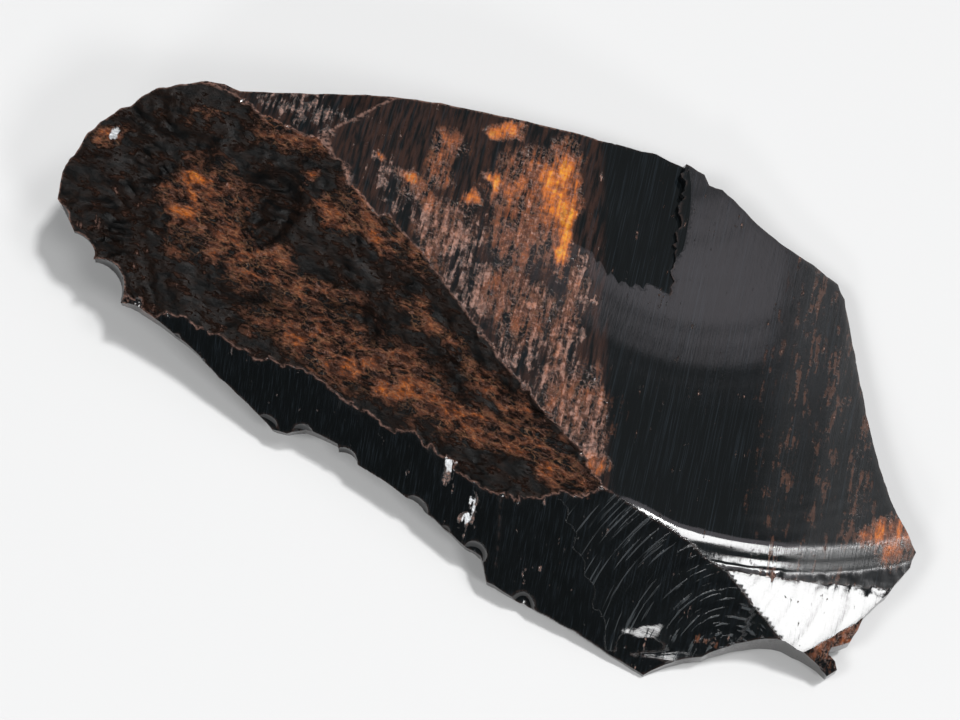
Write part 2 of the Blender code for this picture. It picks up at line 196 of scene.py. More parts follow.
# small chips along the rims: x, y, z, ball radius, flattening
RIM_CHIPS = (
    (-19.2, -20.6, 5.4, 2.6, 0.7), (-15.3, -20.4, 6.0, 2.4, 0.8),
    (-9.6, -21.2, 5.6, 2.6, 0.8), (-5.8, -22.4, 5.2, 2.6, 0.7),
    (-0.2, -22.4, 6.2, 2.7, 0.8), (3.2, -23.3, 6.0, 2.3, 0.8),
    (7.4, -24.2, 5.8, 2.5, 0.8), (15.0, -27.0, 3.6, 3.0, 0.6),
    (13.4, 27.3, 8.3, 2.4, 0.7), (-49.9, -10.8, 12.4, 2.6, 0.8),
    (-46.4, -13.6, 9.6, 3.2, 0.9), (-41.8, -15.4, 9.6, 3.4, 0.9),
)

# iron-rich patches, seen from above: x, y, half length, half width, turn, richness
# (about 0.5 is brown, 0.75 is orange and 1 is gold)
IRON_PATCHES = {
    "mahogany": (
        # the hourglass and the brown curds round it
        (-36.3, -1.6, 1.9, 1.1, 20.0, 0.80), (-36.2, -5.0, 2.1, 1.1, 30.0, 0.80),
        (-36.2, -3.3, 0.8, 1.9, 15.0, 0.78), (-34.6, -3.6, 4.6, 4.2, 0.0, 0.42),
        (-32.1, -5.1, 4.5, 1.2, 17.0, 0.55), (-27.8, -6.6, 6.0, 1.8, 3.0, 0.50),
        # crown and the ground below the ridge
        (-47.6, -1.2, 2.0, 0.9, 24.0, 0.60), (-28.9, 7.1, 4.4, 1.8, -5.0, 0.48),
        (-31.6, 9.5, 2.2, 1.6, 0.0, 0.50), (-24.6, 3.4, 0.8, 0.5, 40.0, 0.55),
        (-20.4, 0.9, 1.5, 2.7, 80.0, 0.66), (-14.7, 0.7, 1.9, 0.9, -15.0, 0.62),
        (-17.6, 2.9, 4.0, 1.5, -40.0, 0.46), (-12.2, 2.0, 4.0, 1.0, -34.0, 0.46),
        # the long belt under the ledges
        (-6.0, -11.6, 3.2, 1.6, 3.0, 0.72), (-12.2, -11.8, 1.9, 1.1, 5.0, 0.62),
        (-19.6, -10.9, 2.4, 1.1, -6.0, 0.58), (-12.0, -10.9, 12.0, 2.9, -3.0, 0.47),
        (-0.1, -12.6, 4.6, 1.5, -5.0, 0.55), (7.0, -13.1, 1.8, 0.7, -2.0, 0.62),
        (11.5, -13.4, 1.3, 0.5, 5.0, 0.60), (10.0, -12.4, 7.0, 1.6, -7.0, 0.46),
        (-20.2, -6.9, 5.0, 1.1, 9.0, 0.46), (-6.0, -5.3, 4.2, 1.2, -19.0, 0.46),
        (2.5, -8.2, 6.0, 1.1, -17.0, 0.43), (-37.8, 4.6, 1.7, 0.8, 20.0, 0.36),
    ),
    "main": (
        (-15.7, 8.2, 1.1, 0.9, 0.0, 0.86), (-19.2, 8.9, 0.9, 0.7, -34.0, 0.84),
        (-13.4, 7.4, 2.8, 1.9, -30.0, 0.52), (-7.1, 13.3, 0.7, 1.1, 17.0, 0.96),
        (-9.3, 19.7, 1.8, 0.9, 34.0, 0.72), (-9.1, 9.5, 0.7, 1.2, 17.0, 0.74),
        (-4.4, 14.2, 0.8, 1.5, 22.0, 0.70), (-1.4, 16.1, 2.1, 5.8, 17.0, 0.74),
        (2.0, 11.4, 0.9, 4.2, 14.0, 0.84), (-3.2, 12.0, 4.2, 7.2, 15.0, 0.44),
        (-13.5, 12.5, 1.6, 3.4, 20.0, 0.42), (-9.5, 4.4, 2.6, 4.0, 0.0, 0.46),
        (0.6, 1.4, 4.8, 3.6, -30.0, 0.42), (6.6, 2.0, 1.2, 7.4, 14.0, 0.48),
        (11.6, -6.0, 4.4, 4.4, -30.0, 0.43), (16.4, -11.0, 2.0, 2.0, 0.0, 0.52),
        (47.2, -2.9, 2.8, 3.0, -12.0, 0.72),
    ),
    "front_east": ((34.3, -20.9, 1.6, 0.7, 22.0, 0.5),),
    "tail": ((47.4, -3.4, 2.6, 3.0, -12.0, 0.72),),
    "tail_chip": ((46.8, -14.6, 3.4, 3.4, 0.0, 0.52),),
}
# zones where the glass is torn into fine facets instead of breaking clean; where the strength passes 1, the finish
# also paints white glints
FROST_AND_GLINT_PATCHES = {
    "mahogany": ((-47.0, -0.3, 0.8, 0.6, 0.0, 1.2), (-45.5, -9.5, 2.0, 1.2, 30.0, 0.6)),
    "main": ((-9.0, 4.6, 4.0, 3.2, -20.0, 1.0), (-4.5, 0.4, 5.0, 2.4, -40.0, 0.95),
             (1.6, 2.4, 3.4, 3.0, 0.0, 0.75), (7.0, 3.0, 1.6, 8.5, 14.0, 1.0),
             (5.6, -4.4, 4.0, 3.4, -40.0, 0.85), (13.6, -7.6, 3.6, 4.8, -10.0, 0.95),
             (-15.0, 6.4, 6.0, 2.2, -30.0, 0.85), (-2.0, 9.5, 2.0, 3.0, 0.0, 0.6)),
    "crown_back": ((-27.5, 10.2, 7.0, 2.2, 0.0, 0.9),),
    "front_west": ((2.6, -16.4, 0.9, 2.6, 10.0, 1.2), (6.0, -19.8, 0.8, 2.2, 0.0, 1.2),
                   (5.2, -16.0, 0.6, 1.6, -20.0, 1.1)),
}
FLOW_TURN = math.radians(13.0)      # the flow bands' lean from the Y axis
EDGE_TURN = math.radians(26.0)      # the lean of the line where the brown glass stops
MAHOGANY_EDGE = 11.0                # where that line runs
SATIN_START = 28.0                  # across the flow, where the glass turns satin
SATIN_FADE = 4.0
ROLL_SATIN = 34.0                   # the same, on the rolled-over end
EAST_STREAKS = ((29.8, 1.0, 0.26), (33.0, 1.6, 0.33), (37.0, 1.8, 0.33), (41.0, 1.4, 0.36))


# ---------------------------------------------------------------- the stone
def trimmed_block():
    """The outline with a slightly wandering edge, pulled up to the block height."""
    bm = bmesh.new()
    ring = []
    for (x0, y0), (x1, y1) in zip(OUTLINE, OUTLINE[1:] + OUTLINE[:1]):
        side = Vector((x1 - x0, y1 - y0, 0.0))
        out = Vector((side.y, -side.x, 0.0)).normalized()
        pieces = max(1, round(side.length / RIM_STEP))
        for piece in range(pieces):
            at = Vector((x0, y0, 0.0)) + side * (piece / pieces)
            wander = noise.fractal(at / 1.7 + Vector((5.0, 0.0, 1.0)), 0.8, 2.0, 3)
            if piece:
                at += out * RIM_WANDER * (wander - 0.4)
            ring.append(bm.verts.new(at))
    face = bm.faces.new(ring)
    pulled = bmesh.ops.extrude_face_region(bm, geom=[face])
    top = [v for v in pulled["geom"] if isinstance(v, bmesh.types.BMVert)]
    bmesh.ops.translate(bm, vec=(0.0, 0.0, BLOCK_HEIGHT), verts=top)
    bmesh.ops.recalc_face_normals(bm, faces=bm.faces)
    return bm


def sheet_frame(corners, up):
    """Axes and centre of the plane through three corners, facing out."""
    a, b, c = (Vector(p) for p in corners)
    out = (b - a).cross(c - a).normalized()
    if (out.z > 0.0) != up:
        out.negate()
    along = (b - a).normalized()
    across = out.cross(along)
    centre = (a + b + c) / 3.0
    reach = sum((p - centre).length_squared for p in (a, b, c)) / 3.0
    turn = Matrix((along, across, out)).transposed().to_4x4()
    return Matrix.Translation(centre) @ turn, reach


def bowl(u, v, reach, radius):
    """Height of a hollow sheet of that radius that meets its corners."""
    if radius == 0.0:
        return 0.0
    if isinstance(radius, tuple):
        rise = u * u / (2.0 * radius[0]) + v * v / (2.0 * radius[1])
        return min(rise - reach / sum(radius), FLAKE_HEIGHT / 2.0)
    return min((u * u + v * v - reach) / (2.0 * radius), FLAKE_HEIGHT / 2.0)


def roll(point):
    """Drop of the main scar's rolled-over front end, with strokes along the fall."""
    dx = point.x - ROLL_CENTRE[0]
    dy = point.y - ROLL_CENTRE[1]
    turn = math.atan2(dx, -dy)
    share = min(max((turn + 0.11) / 0.06, 0.0), 1.0) if dy < -20.0 else 0.0
    away = math.hypot(dx, dy) - ROLL_START + ROLL_NEARER * max(turn - 0.03, 0.0)
    strokes = noise.fractal(Vector((turn * 80.0, away / 3.0, 2.0)), 0.8, 2.0, 2)
    drop = 0.0
    for (start, gentle), (end, steep) in zip(ROLL_SLOPES, ROLL_SLOPES[1:]):
        part = min(max(away - start, 0.0), end - start)
        drop += part * (gentle + (steep - gentle) * part / (end - start) / 2.0)
    drop += 0.14 * strokes * min(max((away - 2.4) / 1.2, 0.0), 1.0)
    return share * drop


def foot(point):
    """The swell, ledge and shelf at the foot of the front."""
    dx = point.x - FOOT_MIDDLE[0]
    dy = point.y - FOOT_MIDDLE[1]
    down = (dx * FOOT_DOWN[0] + dy * FOOT_DOWN[1]) / FOOT_FORESHORTENING
    side = dy * FOOT_DOWN[0] - dx * FOOT_DOWN[1]
    share = (min(max((side - FOOT_WIDTH[0]) / 0.9, 0.0), 1.0)
             * min(max((FOOT_WIDTH[1] - side) / 0.9, 0.0), 1.0))
    down += 0.25 * noise.noise(Vector((side / 1.3, down / 1.3, 4.0)))
    middle = min(max((3.0 - abs(side + 0.2)) / 1.0, 0.0), 1.0)
    swell = 0.18 * middle * min(max(down + 0.3, 0.0), 2.8)
    drop = 0.50 * middle * min(max((down - 2.6) / 0.4, 0.0), 1.0)
    below = min(max(down - 3.0 - 0.12 * side, 0.0), 12.0)
    strokes = 0.025 * noise.noise(Vector((side / 0.45, down / 3.0, 9.0)))
    shelf = 0.51 * below + strokes * min(below, 1.0)
    return share * (swell - drop + shelf)


def fringe(point):
    """Torn glass along the tail's upper edge."""
    (x0, y0, _), (x1, y1, _) = TOP_SCARS["tail"][0][:2]
    length = math.hypot(x1 - x0, y1 - y0)
    below = ((point.x - x0) * (y1 - y0) - (point.y - y0) * (x1 - x0)) / length
    along = ((point.x - x0) * (x1 - x0) + (point.y - y0) * (y1 - y0)) / length
    fade = math.exp(-(below / TORN_REACH) ** 2)
    return TORN_HEIGHT * fade * noise.fractal(Vector((along / 0.7, below / 1.6, 3.0)), 0.8, 2.0, 3)


def cup(point):
    """Height of the main scar's cup at a point."""
    away = (point - Vector(MAIN_BLOW)).length
    risen = min(max(away - CUP_START, 0.0), CUP_TURN - CUP_START)
    past = max(away - CUP_TURN, 0.0)
    slope = 2.0 * CUP_RISE * (CUP_TURN - CUP_START)
    return CUP_RISE * risen * risen + slope * past


def ring_wave(point, blow, spacing, height):
    """Rings round the point of the blow, steeper on the far side."""
    turn = 2.0 * math.pi * (point - blow).length / spacing
    return height * (math.sin(turn) + 0.35 * math.sin(2.0 * turn + 0.6))


def hollow(point, x, y, length, width, depth, turn):
    """A lens-shaped dip with a steep upper lip."""
    angle = math.radians(turn)
    dx = point.x - x
    dy = point.y - y
    s = (dx * math.cos(angle) + dy * math.sin(angle)) / length
    t = (dy * math.cos(angle) - dx * math.sin(angle)) / width
    inside = 1.0 - s * s - t * t
    if inside <= 0.0:
        return 0.0
    return -depth * min(1.0, 1.8 * inside) * (0.75 + 0.25 * t)


def ledge(run, gap, rise_share):
    """A saw tooth from -0.5 to 0.5: a long rise and a short drop."""
    phase = (run / gap) % 1.0
    if phase < rise_share:
        return phase / rise_share - 0.5
    return (1.0 - phase) / (1.0 - rise_share) - 0.5


def hackle(point):
    """Relief of the hackly face, from its lumps down to its grain."""
    flat = Vector((point.x, point.y, 0.0))
    lump_size, lump_height = HACKLE_LUMP
    ledge_gap, ledge_height = HACKLE_LEDGE
    grit_size, grit_height = HACKLE_GRIT
    step_gap, step_height = HACKLE_STEP
    grain_size, grain_height = HACKLE_GRAIN
    lumps = lump_height * noise.noise(flat / lump_size + Vector((3.1, 7.4, 0.5)))
    warp = 2.4 * noise.noise(flat / 11.0 + Vector((9.2, 1.3, 4.0)))
    run = flat.y * math.cos(LEDGE_TURN) - flat.x * math.sin(LEDGE_TURN) + 2.0 * warp
    broken = 0.5 + 0.5 * noise.noise(flat / 8.0 + Vector((0.7, 5.5, 2.2)))
    ledges = ledge_height * broken * ledge(run, ledge_gap, 0.8)
    small_warp = 1.3 * noise.noise(flat / 3.4 + Vector((4.0, 8.0, 3.0)))
    patchy = max(0.0, 0.35 + noise.noise(flat / 5.0 + Vector((2.0, 6.0, 7.0))))
    steps = step_height * patchy * ledge(run + 2.0 * small_warp, step_gap, 0.78)
    grit = grit_height * noise.noise(flat / grit_size + Vector((6.0, 2.0, 8.0)))
    grain = grain_height * noise.fractal(flat / grain_size, 0.7, 2.1, 3)
    dips = sum(hollow(point, *dip) for dip in HACKLE_HOLLOWS)
    return lumps + ledges + steps + grit + grain + dips


def relief_of(name, corners, blow, spacing, height, rings):
    """The function that gives a scar's relief at a point."""
    centre = Vector(blow)
    if name == "mahogany":
        return hackle
    if name == "front_east":
        return lambda p: foot(p) + rings * ring_wave(p, centre, spacing, height)
    if name in ("tail", "tail_chip"):
        return lambda p: fringe(p) + rings * ring_wave(p, centre, spacing, height)
    if name != "main":
        return lambda p: rings * ring_wave(p, centre, spacing, height)
    level = sum(cup(Vector(p)) for p in corners) / 3.0
    gap, rise, start = FOOT_RING

    def main_relief(point):
        away = (point - centre).length
        share = min(max((away - start) / 6.0, 0.0), 1.0)
        fine = share * rise * math.sin(2.0 * math.pi * away / gap)
        torn = 0.6 + 0.8 * noise.noise(point / 4.0)
        return cup(point) - roll(point) - level + rings * (ring_wave(point, centre, spacing, height)
                                             + fine * torn)
    return main_relief


def flake(name, corners, radius, relief, step, up, half):
    """A cutter whose under side is a struck sheet, fine over its own scar."""
    place, reach = sheet_frame(corners, up)
    near = 1.5 * max((Vector(p) - place.translation).length for p in corners) + 4.0
    half, slide = STEPPED.get(name, (half, 0.0))
    cells = max(4, round(2.0 * half / WIDE_STEP))
    bm = bmesh.new()
    bmesh.ops.create_grid(bm, x_segments=cells, y_segments=cells, size=half)
    bmesh.ops.translate(bm, vec=(slide, 0.0, 0.0), verts=bm.verts)
    cuts = max(1, round(2.0 * half / cells / step) - 1)
    inner = {e for f in bm.faces if f.calc_center_median().length < near for e in f.edges}
    bmesh.ops.subdivide_edges(bm, edges=list(inner), cuts=cuts, use_grid_fill=True)
    if name in STEPPED:
        spacing, teeth = STEP_TEETH
        for vert in bm.verts:
            if vert.co.x > slide + half - 0.01:
                vert.co.x += teeth * noise.noise(Vector((vert.co.y / spacing, 0.5, 0.0)))
    for vert in bm.verts:
        u, v = vert.co.x, vert.co.y
        vert.co.z = bowl(u, v, reach, radius) + relief(place @ Vector((u, v, 0.0)))
    bmesh.ops.triangulate(bm, faces=bm.faces)
    rim = [e for e in bm.edges if e.is_boundary]
    pulled = bmesh.ops.extrude_edge_only(bm, edges=rim)
    top = [v for v in pulled["geom"] if isinstance(v, bmesh.types.BMVert)]
    for vert in top:
        vert.co.z = FLAKE_HEIGHT
    bmesh.ops.contextual_create(bm, geom=[e for e in bm.edges if e.is_boundary])
    bmesh.ops.transform(bm, matrix=place, verts=bm.verts)
    bmesh.ops.recalc_face_normals(bm, faces=bm.faces)
    return cutter_object("flake_" + name, bm, SCAR_NUMBERS[name])


def ball(radius, flattening, turn, at, detail):
    """One small flattened ball for a chip, as a bmesh."""
    bm = bmesh.new()
    bmesh.ops.create_icosphere(bm, subdivisions=detail, radius=radius)
    bmesh.ops.scale(bm, vec=(1.0, flattening, flattening), verts=bm.verts)
    bmesh.ops.rotate(bm, matrix=turn, verts=bm.verts)
    bmesh.ops.translate(bm, vec=at, verts=bm.verts)
    return bm


def numbered_mesh(name, bm, number):
    """The bmesh as a mesh whose faces all carry that scar's number."""
    mark = bm.faces.layers.int.get("scar") or bm.faces.layers.int.new("scar")
    for face in bm.faces:
        face[mark] = number
    mesh = bpy.data.meshes.new(name)
    bm.to_mesh(mesh)
    bm.free()
    return mesh


def cutter_object(name, bm, number):
    item = bpy.data.objects.new(name, numbered_mesh(name, bm, number))
    bpy.context.scene.collection.objects.link(item)
    return item


def strike(stone, cutter):
    """Take the cutter's volume off the stone, then throw the cutter away."""
    cut = stone.modifiers.new(cutter.name, "BOOLEAN")
    cut.operation = "DIFFERENCE"
    cut.solver = "EXACT"
    cut.object = cutter
    graph = bpy.context.evaluated_depsgraph_get()
    mesh = bpy.data.meshes.new_from_object(stone.evaluated_get(graph))
    stone.modifiers.clear()
    old = stone.data
    stone.data = mesh
    bpy.data.meshes.remove(old)
    spent = cutter.data
    bpy.data.objects.remove(cutter, do_unlink=True)
    bpy.data.meshes.remove(spent)


def arrises(bm, least):
    """Edges where two different scars meet in a ridge of at least that angle."""
    mark = bm.faces.layers.int["scar"]
    found = []
    for edge in bm.edges:
        if len(edge.link_faces) != 2:
            continue
        first, second = edge.link_faces
        if first[mark] != second[mark] and edge.calc_face_angle_signed(0.0) > least:
            found.append(edge)
    return found


def nick_arrises(stone, count, seed):
    """Many tiny chips along the arrises, as ridges of glass always have."""
    bm = bmesh.new()
    bm.from_mesh(stone.data)
    ridges = arrises(bm, math.radians(25.0))
    pick = random.Random(seed)
    spots = []
    tries = 0
    while len(spots) < count and tries < 20 * count:
        tries += 1
        edge = pick.choice(ridges)
        at = (edge.verts[0].co + edge.verts[1].co) / 2.0
        if at.z < 1.0:
            continue
        radius = 0.35 + 0.75 * pick.random() ** 2
        if any((at - other).length < radius + size + 0.1 for other, size in spots):
            continue
        out = (edge.link_faces[0].normal + edge.link_faces[1].normal).normalized()
        spots.append((at + out * radius * 0.78, radius))
    bm.free()
    nicks = bmesh.new()
    for at, radius in spots:
        turn = Matrix.Rotation(pick.uniform(0.0, math.pi), 3, "Z")
        one = ball(radius, pick.uniform(0.7, 1.0), turn, at, 2)
        shape = bpy.data.meshes.new("nick")
        one.to_mesh(shape)
        one.free()
        nicks.from_mesh(shape)
        bpy.data.meshes.remove(shape)
    strike(stone, cutter_object("nicks", nicks, SCAR_NUMBERS["chips"]))


def settle(bm):
    """Weld the cuts, and put the middle of the foot print on the middle of the CAD box and the lowest point on its
    floor, in millimetres.
    """
    bmesh.ops.remove_doubles(bm, verts=bm.verts, dist=WELD)
    bmesh.ops.dissolve_degenerate(bm, edges=bm.edges, dist=WELD)
    bmesh.ops.triangulate(bm, faces=[f for f in bm.faces if len(f.verts) > 4])
    low, high = (Vector(corner) / MM for corner in CAD_BOX)
    xs = [v.co.x for v in bm.verts]
    ys = [v.co.y for v in bm.verts]
    zs = [v.co.z for v in bm.verts]
    shift = ((low.x + high.x - min(xs) - max(xs)) / 2.0,
             (low.y + high.y - min(ys) - max(ys)) / 2.0, low.z - min(zs))
    bmesh.ops.translate(bm, vec=shift, verts=bm.verts)


def soft_patches(points, patches):
    """The strongest of the soft-edged ovals at each point, 1 in a middle and 0 far off."""
    field = np.zeros(len(points))
    for x, y, length, width, turn, strength in patches:
        angle = math.radians(turn)
        dx = points[:, 0] - x
        dy = points[:, 1] - y
        s = (dx * math.cos(angle) + dy * math.sin(angle)) / length
        t = (dy * math.cos(angle) - dx * math.sin(angle)) / width
        oval = strength * np.clip(1.25 - 0.6 * (s * s + t * t), 0.0, 1.0)
        field = np.maximum(field, oval)
    return field


def on_scars(mesh, names):
    """1 at each point that lies on one of the named scars, 0 elsewhere."""
    numbers = [SCAR_NUMBERS[name] for name in names]
    marks = np.empty(len(mesh.polygons), dtype=np.int32)
    mesh.attributes["scar"].data.foreach_get("value", marks)
    sizes = np.empty(len(mesh.polygons), dtype=np.int32)
    mesh.polygons.foreach_get("loop_total", sizes)
    corners = np.empty(len(mesh.loops), dtype=np.int32)
    mesh.loops.foreach_get("vertex_index", corners)
    chosen = np.zeros(len(mesh.vertices))
    chosen[corners[np.repeat(np.isin(marks, numbers), sizes)]] = 1.0
    return chosen


def wandered(points, size, reach):
    """The points pushed about by soft noise, so that drawn ovals lose their outline."""
    moved = points.copy()
    for index, point in enumerate(points):
        drift = noise.noise_vector(Vector(point) / size)
        moved[index, 0] += reach * drift.x
        moved[index, 1] += reach * drift.y
    return moved


def paint_values(mesh, ridge_points):
    """Per-point values that the finish reads.

    iron is the richness in iron, the frost value the share of torn glass (above 1
    it also marks painted white glints), the wear value the nearness of an arris
    (which dulls the glass and paints a pale highlight there), combed the share of
    strong lines from the blow, and struck the (angle, distance) from the blow.
    """
    count = len(mesh.vertices)
    points = np.empty(count * 3)
    mesh.vertices.foreach_get("co", points)
    points = points.reshape(count, 3)
    moved = wandered(wandered(points, 3.1, 1.5), 1.2, 0.6)
    drifted = moved[:, 0] * math.cos(FLOW_TURN) + moved[:, 1] * math.sin(FLOW_TURN)
    spread = {"main": ("main", "shoulder", "flute", "crown_back")}
    iron = np.zeros(count)
    for name, patches in IRON_PATCHES.items():
        here = on_scars(mesh, spread.get(name, (name,)))
        iron = np.maximum(iron, here * soft_patches(moved, patches))
    main_side = on_scars(mesh, spread["main"])
    for centre, width, strength in EAST_STREAKS:
        band = strength * np.clip(1.0 - 0.5 * ((drifted - centre) / width) ** 2, 0.0, 1.0)
        iron = np.maximum(iron, band * main_side)
    east = points[:, 0] * math.cos(EDGE_TURN) + points[:, 1] * math.sin(EDGE_TURN)
    brown = np.clip((MAHOGANY_EDGE - east) / 0.4, -1.0, 1.0) * 0.5 + 0.5
    brown = np.where(main_side > 0.0, brown, 0.0)
    brown = np.maximum(brown, on_scars(mesh, ("mahogany",)))
    # share of torn glass; above 1 it also marks the painted white glints
    frost_and_sheen = np.zeros(count)
    for name, patches in FROST_AND_GLINT_PATCHES.items():
        here = on_scars(mesh, spread.get(name, (name,)))
        if name == "main":
            here = here * brown
        frost_and_sheen = np.maximum(frost_and_sheen, here * soft_patches(moved, patches))
    struck = np.zeros((count, 3))
    struck[:, 1] = 1000.0
    for name, (corners, radius, blow, spacing, height) in TOP_SCARS.items():
        here = on_scars(mesh, (name,)) > 0.0
        dx = points[:, 0] - blow[0]
        dy = points[:, 1] - blow[1]
        away = np.hypot(dx, dy)
        struck[here, 0] = np.arctan2(dx, -dy)[here]
        struck[here, 1] = away[here]
    past = np.hypot(points[:, 0] - ROLL_CENTRE[0], points[:, 1] - ROLL_CENTRE[1]) - 46.5
    front = on_scars(mesh, ("main", "tail")) * (points[:, 1] < 0.0)
    combed = front * np.clip(past + 1.0, 0.0, 0.4) * np.clip((7.5 - past) / 2.0, 0.0, 1.0)
    combed = np.maximum(combed, on_scars(mesh, ("front_east",)))
    across = points[:, 0] * math.cos(FLOW_TURN) + points[:, 1] * math.sin(FLOW_TURN)
    satin = np.clip((across - SATIN_START) / SATIN_FADE, 0.0, 1.0)
    satin = satin * np.clip(1.0 - (past + 1.0) / 2.0, 0.0, 1.0)
    satin = main_side * np.maximum(satin, 1.4 * np.clip((across - ROLL_SATIN) / 3.0, 0.0, 1.0))
    tree = kdtree.KDTree(len(ridge_points))
    for index, point in enumerate(ridge_points):
        tree.insert(point, index)
    tree.balance()
    away = np.array([tree.find(p)[2] for p in points])
    # nearness of an arris: it dulls the glass there and also paints a pale highlight along the arris
    wear_and_glint = np.clip(1.0 - away / 0.7, 0.0, 1.0)
    for name, values in (("iron", iron), ("brown", brown), ("frost_and_sheen", frost_and_sheen),
                         ("combed", combed), ("satin", satin), ("wear_and_glint", wear_and_glint)):
        layer = mesh.attributes.new(name, "FLOAT", "POINT")
        layer.data.foreach_set("value", values.astype(np.float32))
    layer = mesh.attributes.new("struck", "FLOAT_VECTOR", "POINT")
    layer.data.foreach_set("vector", struck.astype(np.float32).ravel())


def struck_stone(settings):
    """The whole stone, from the block to the last nick, in metres."""
    stone = cutter_object("struck_stone", trimmed_block(), 0)
    rings = settings.ring_strength
    step_top = settings.step_top / MM
    step_rough = settings.step_rough / MM
    step_under = settings.step_under / MM
    for name, (corners, radius, blow, spacing, height) in UNDER_SCARS.items():
        relief = relief_of(name, corners, blow, spacing, height, rings)
        strike(stone, flake(name, corners, radius, relief, step_under, False, 48.0))
    strike(stone, flake("mahogany", HACKLE_CORNERS, HACKLE_RADIUS, hackle,
                        step_rough, True, 72.0))
    for name, (corners, radius, blow, spacing, height) in TOP_SCARS.items():
        relief = relief_of(name, corners, blow, spacing, height, rings)
        strike(stone, flake(name, corners, radius, relief, step_top, True, 72.0))
    for index, (x, y, z, radius, flattening) in enumerate(RIM_CHIPS):
        turn = Matrix.Rotation(0.7 * index, 3, "Z")
        chip = ball(radius, flattening, turn, (x, y, z), 4)
        strike(stone, cutter_object("chip", chip, SCAR_NUMBERS["chips"]))
    nick_arrises(stone, settings.nicks, 7)

    bm = bmesh.new()
    bm.from_mesh(stone.data)
    settle(bm)
    ridges = arrises(bm, math.radians(14.0))
    ridge_points = [v.co.copy() for edge in ridges for v in edge.verts]
    mark = bm.faces.layers.int["scar"]
    rough = SCAR_NUMBERS["mahogany"]
    for face in bm.faces:
        face.smooth = True
        face.material_index = 1 if face[mark] == rough else 0
    for edge in bm.edges:
        faces = edge.link_faces
        if len(faces) == 2:
            parted = faces[0][mark] != faces[1][mark]
            limit = math.radians(6.0 if parted else 50.0)
            edge.smooth = faces[0].normal.angle(faces[1].normal, 0.0) < limit
    bm.to_mesh(stone.data)
    bm.free()
    stone.data.name = "struck_stone"
    paint_values(stone.data, ridge_points)
    stone.data.transform(Matrix.Diagonal((MM, MM, MM, 1.0)))
    stone.data.update()
    return stone


# --------------------------------------------------------------- the finish
def colour(hex_code):
    """An sRGB hex value as linear RGBA."""
    channels = [int(hex_code[i:i + 2], 16) / 255.0 for i in (1, 3, 5)]
    linear = [c / 12.92 if c <= 0.04045 else ((c + 0.055) / 1.055) ** 2.4 for c in channels]
    return (*linear, 1.0)


def add(tree, kind, inputs=(), **settings):
    """Add a node, set its properties, and set or link its inputs."""
    node = tree.nodes.new(kind)
    for key, value in settings.items():
        setattr(node, key, value)
    for key, value in dict(inputs).items():
        if isinstance(value, bpy.types.NodeSocket):
            tree.links.new(value, node.inputs[key])
        else:
            node.inputs[key].default_value = value
    return node


def set_ramp(node, stops):
    """Give a colour ramp its stops: (position, linear colour) in order."""
    ramp = node.color_ramp
    while len(ramp.elements) > 1:
        ramp.elements.remove(ramp.elements[-1])
    ramp.elements[0].position = stops[0][0]
    ramp.elements[0].color = stops[0][1]
    for position, shade in stops[1:]:
        ramp.elements.new(position).color = shade


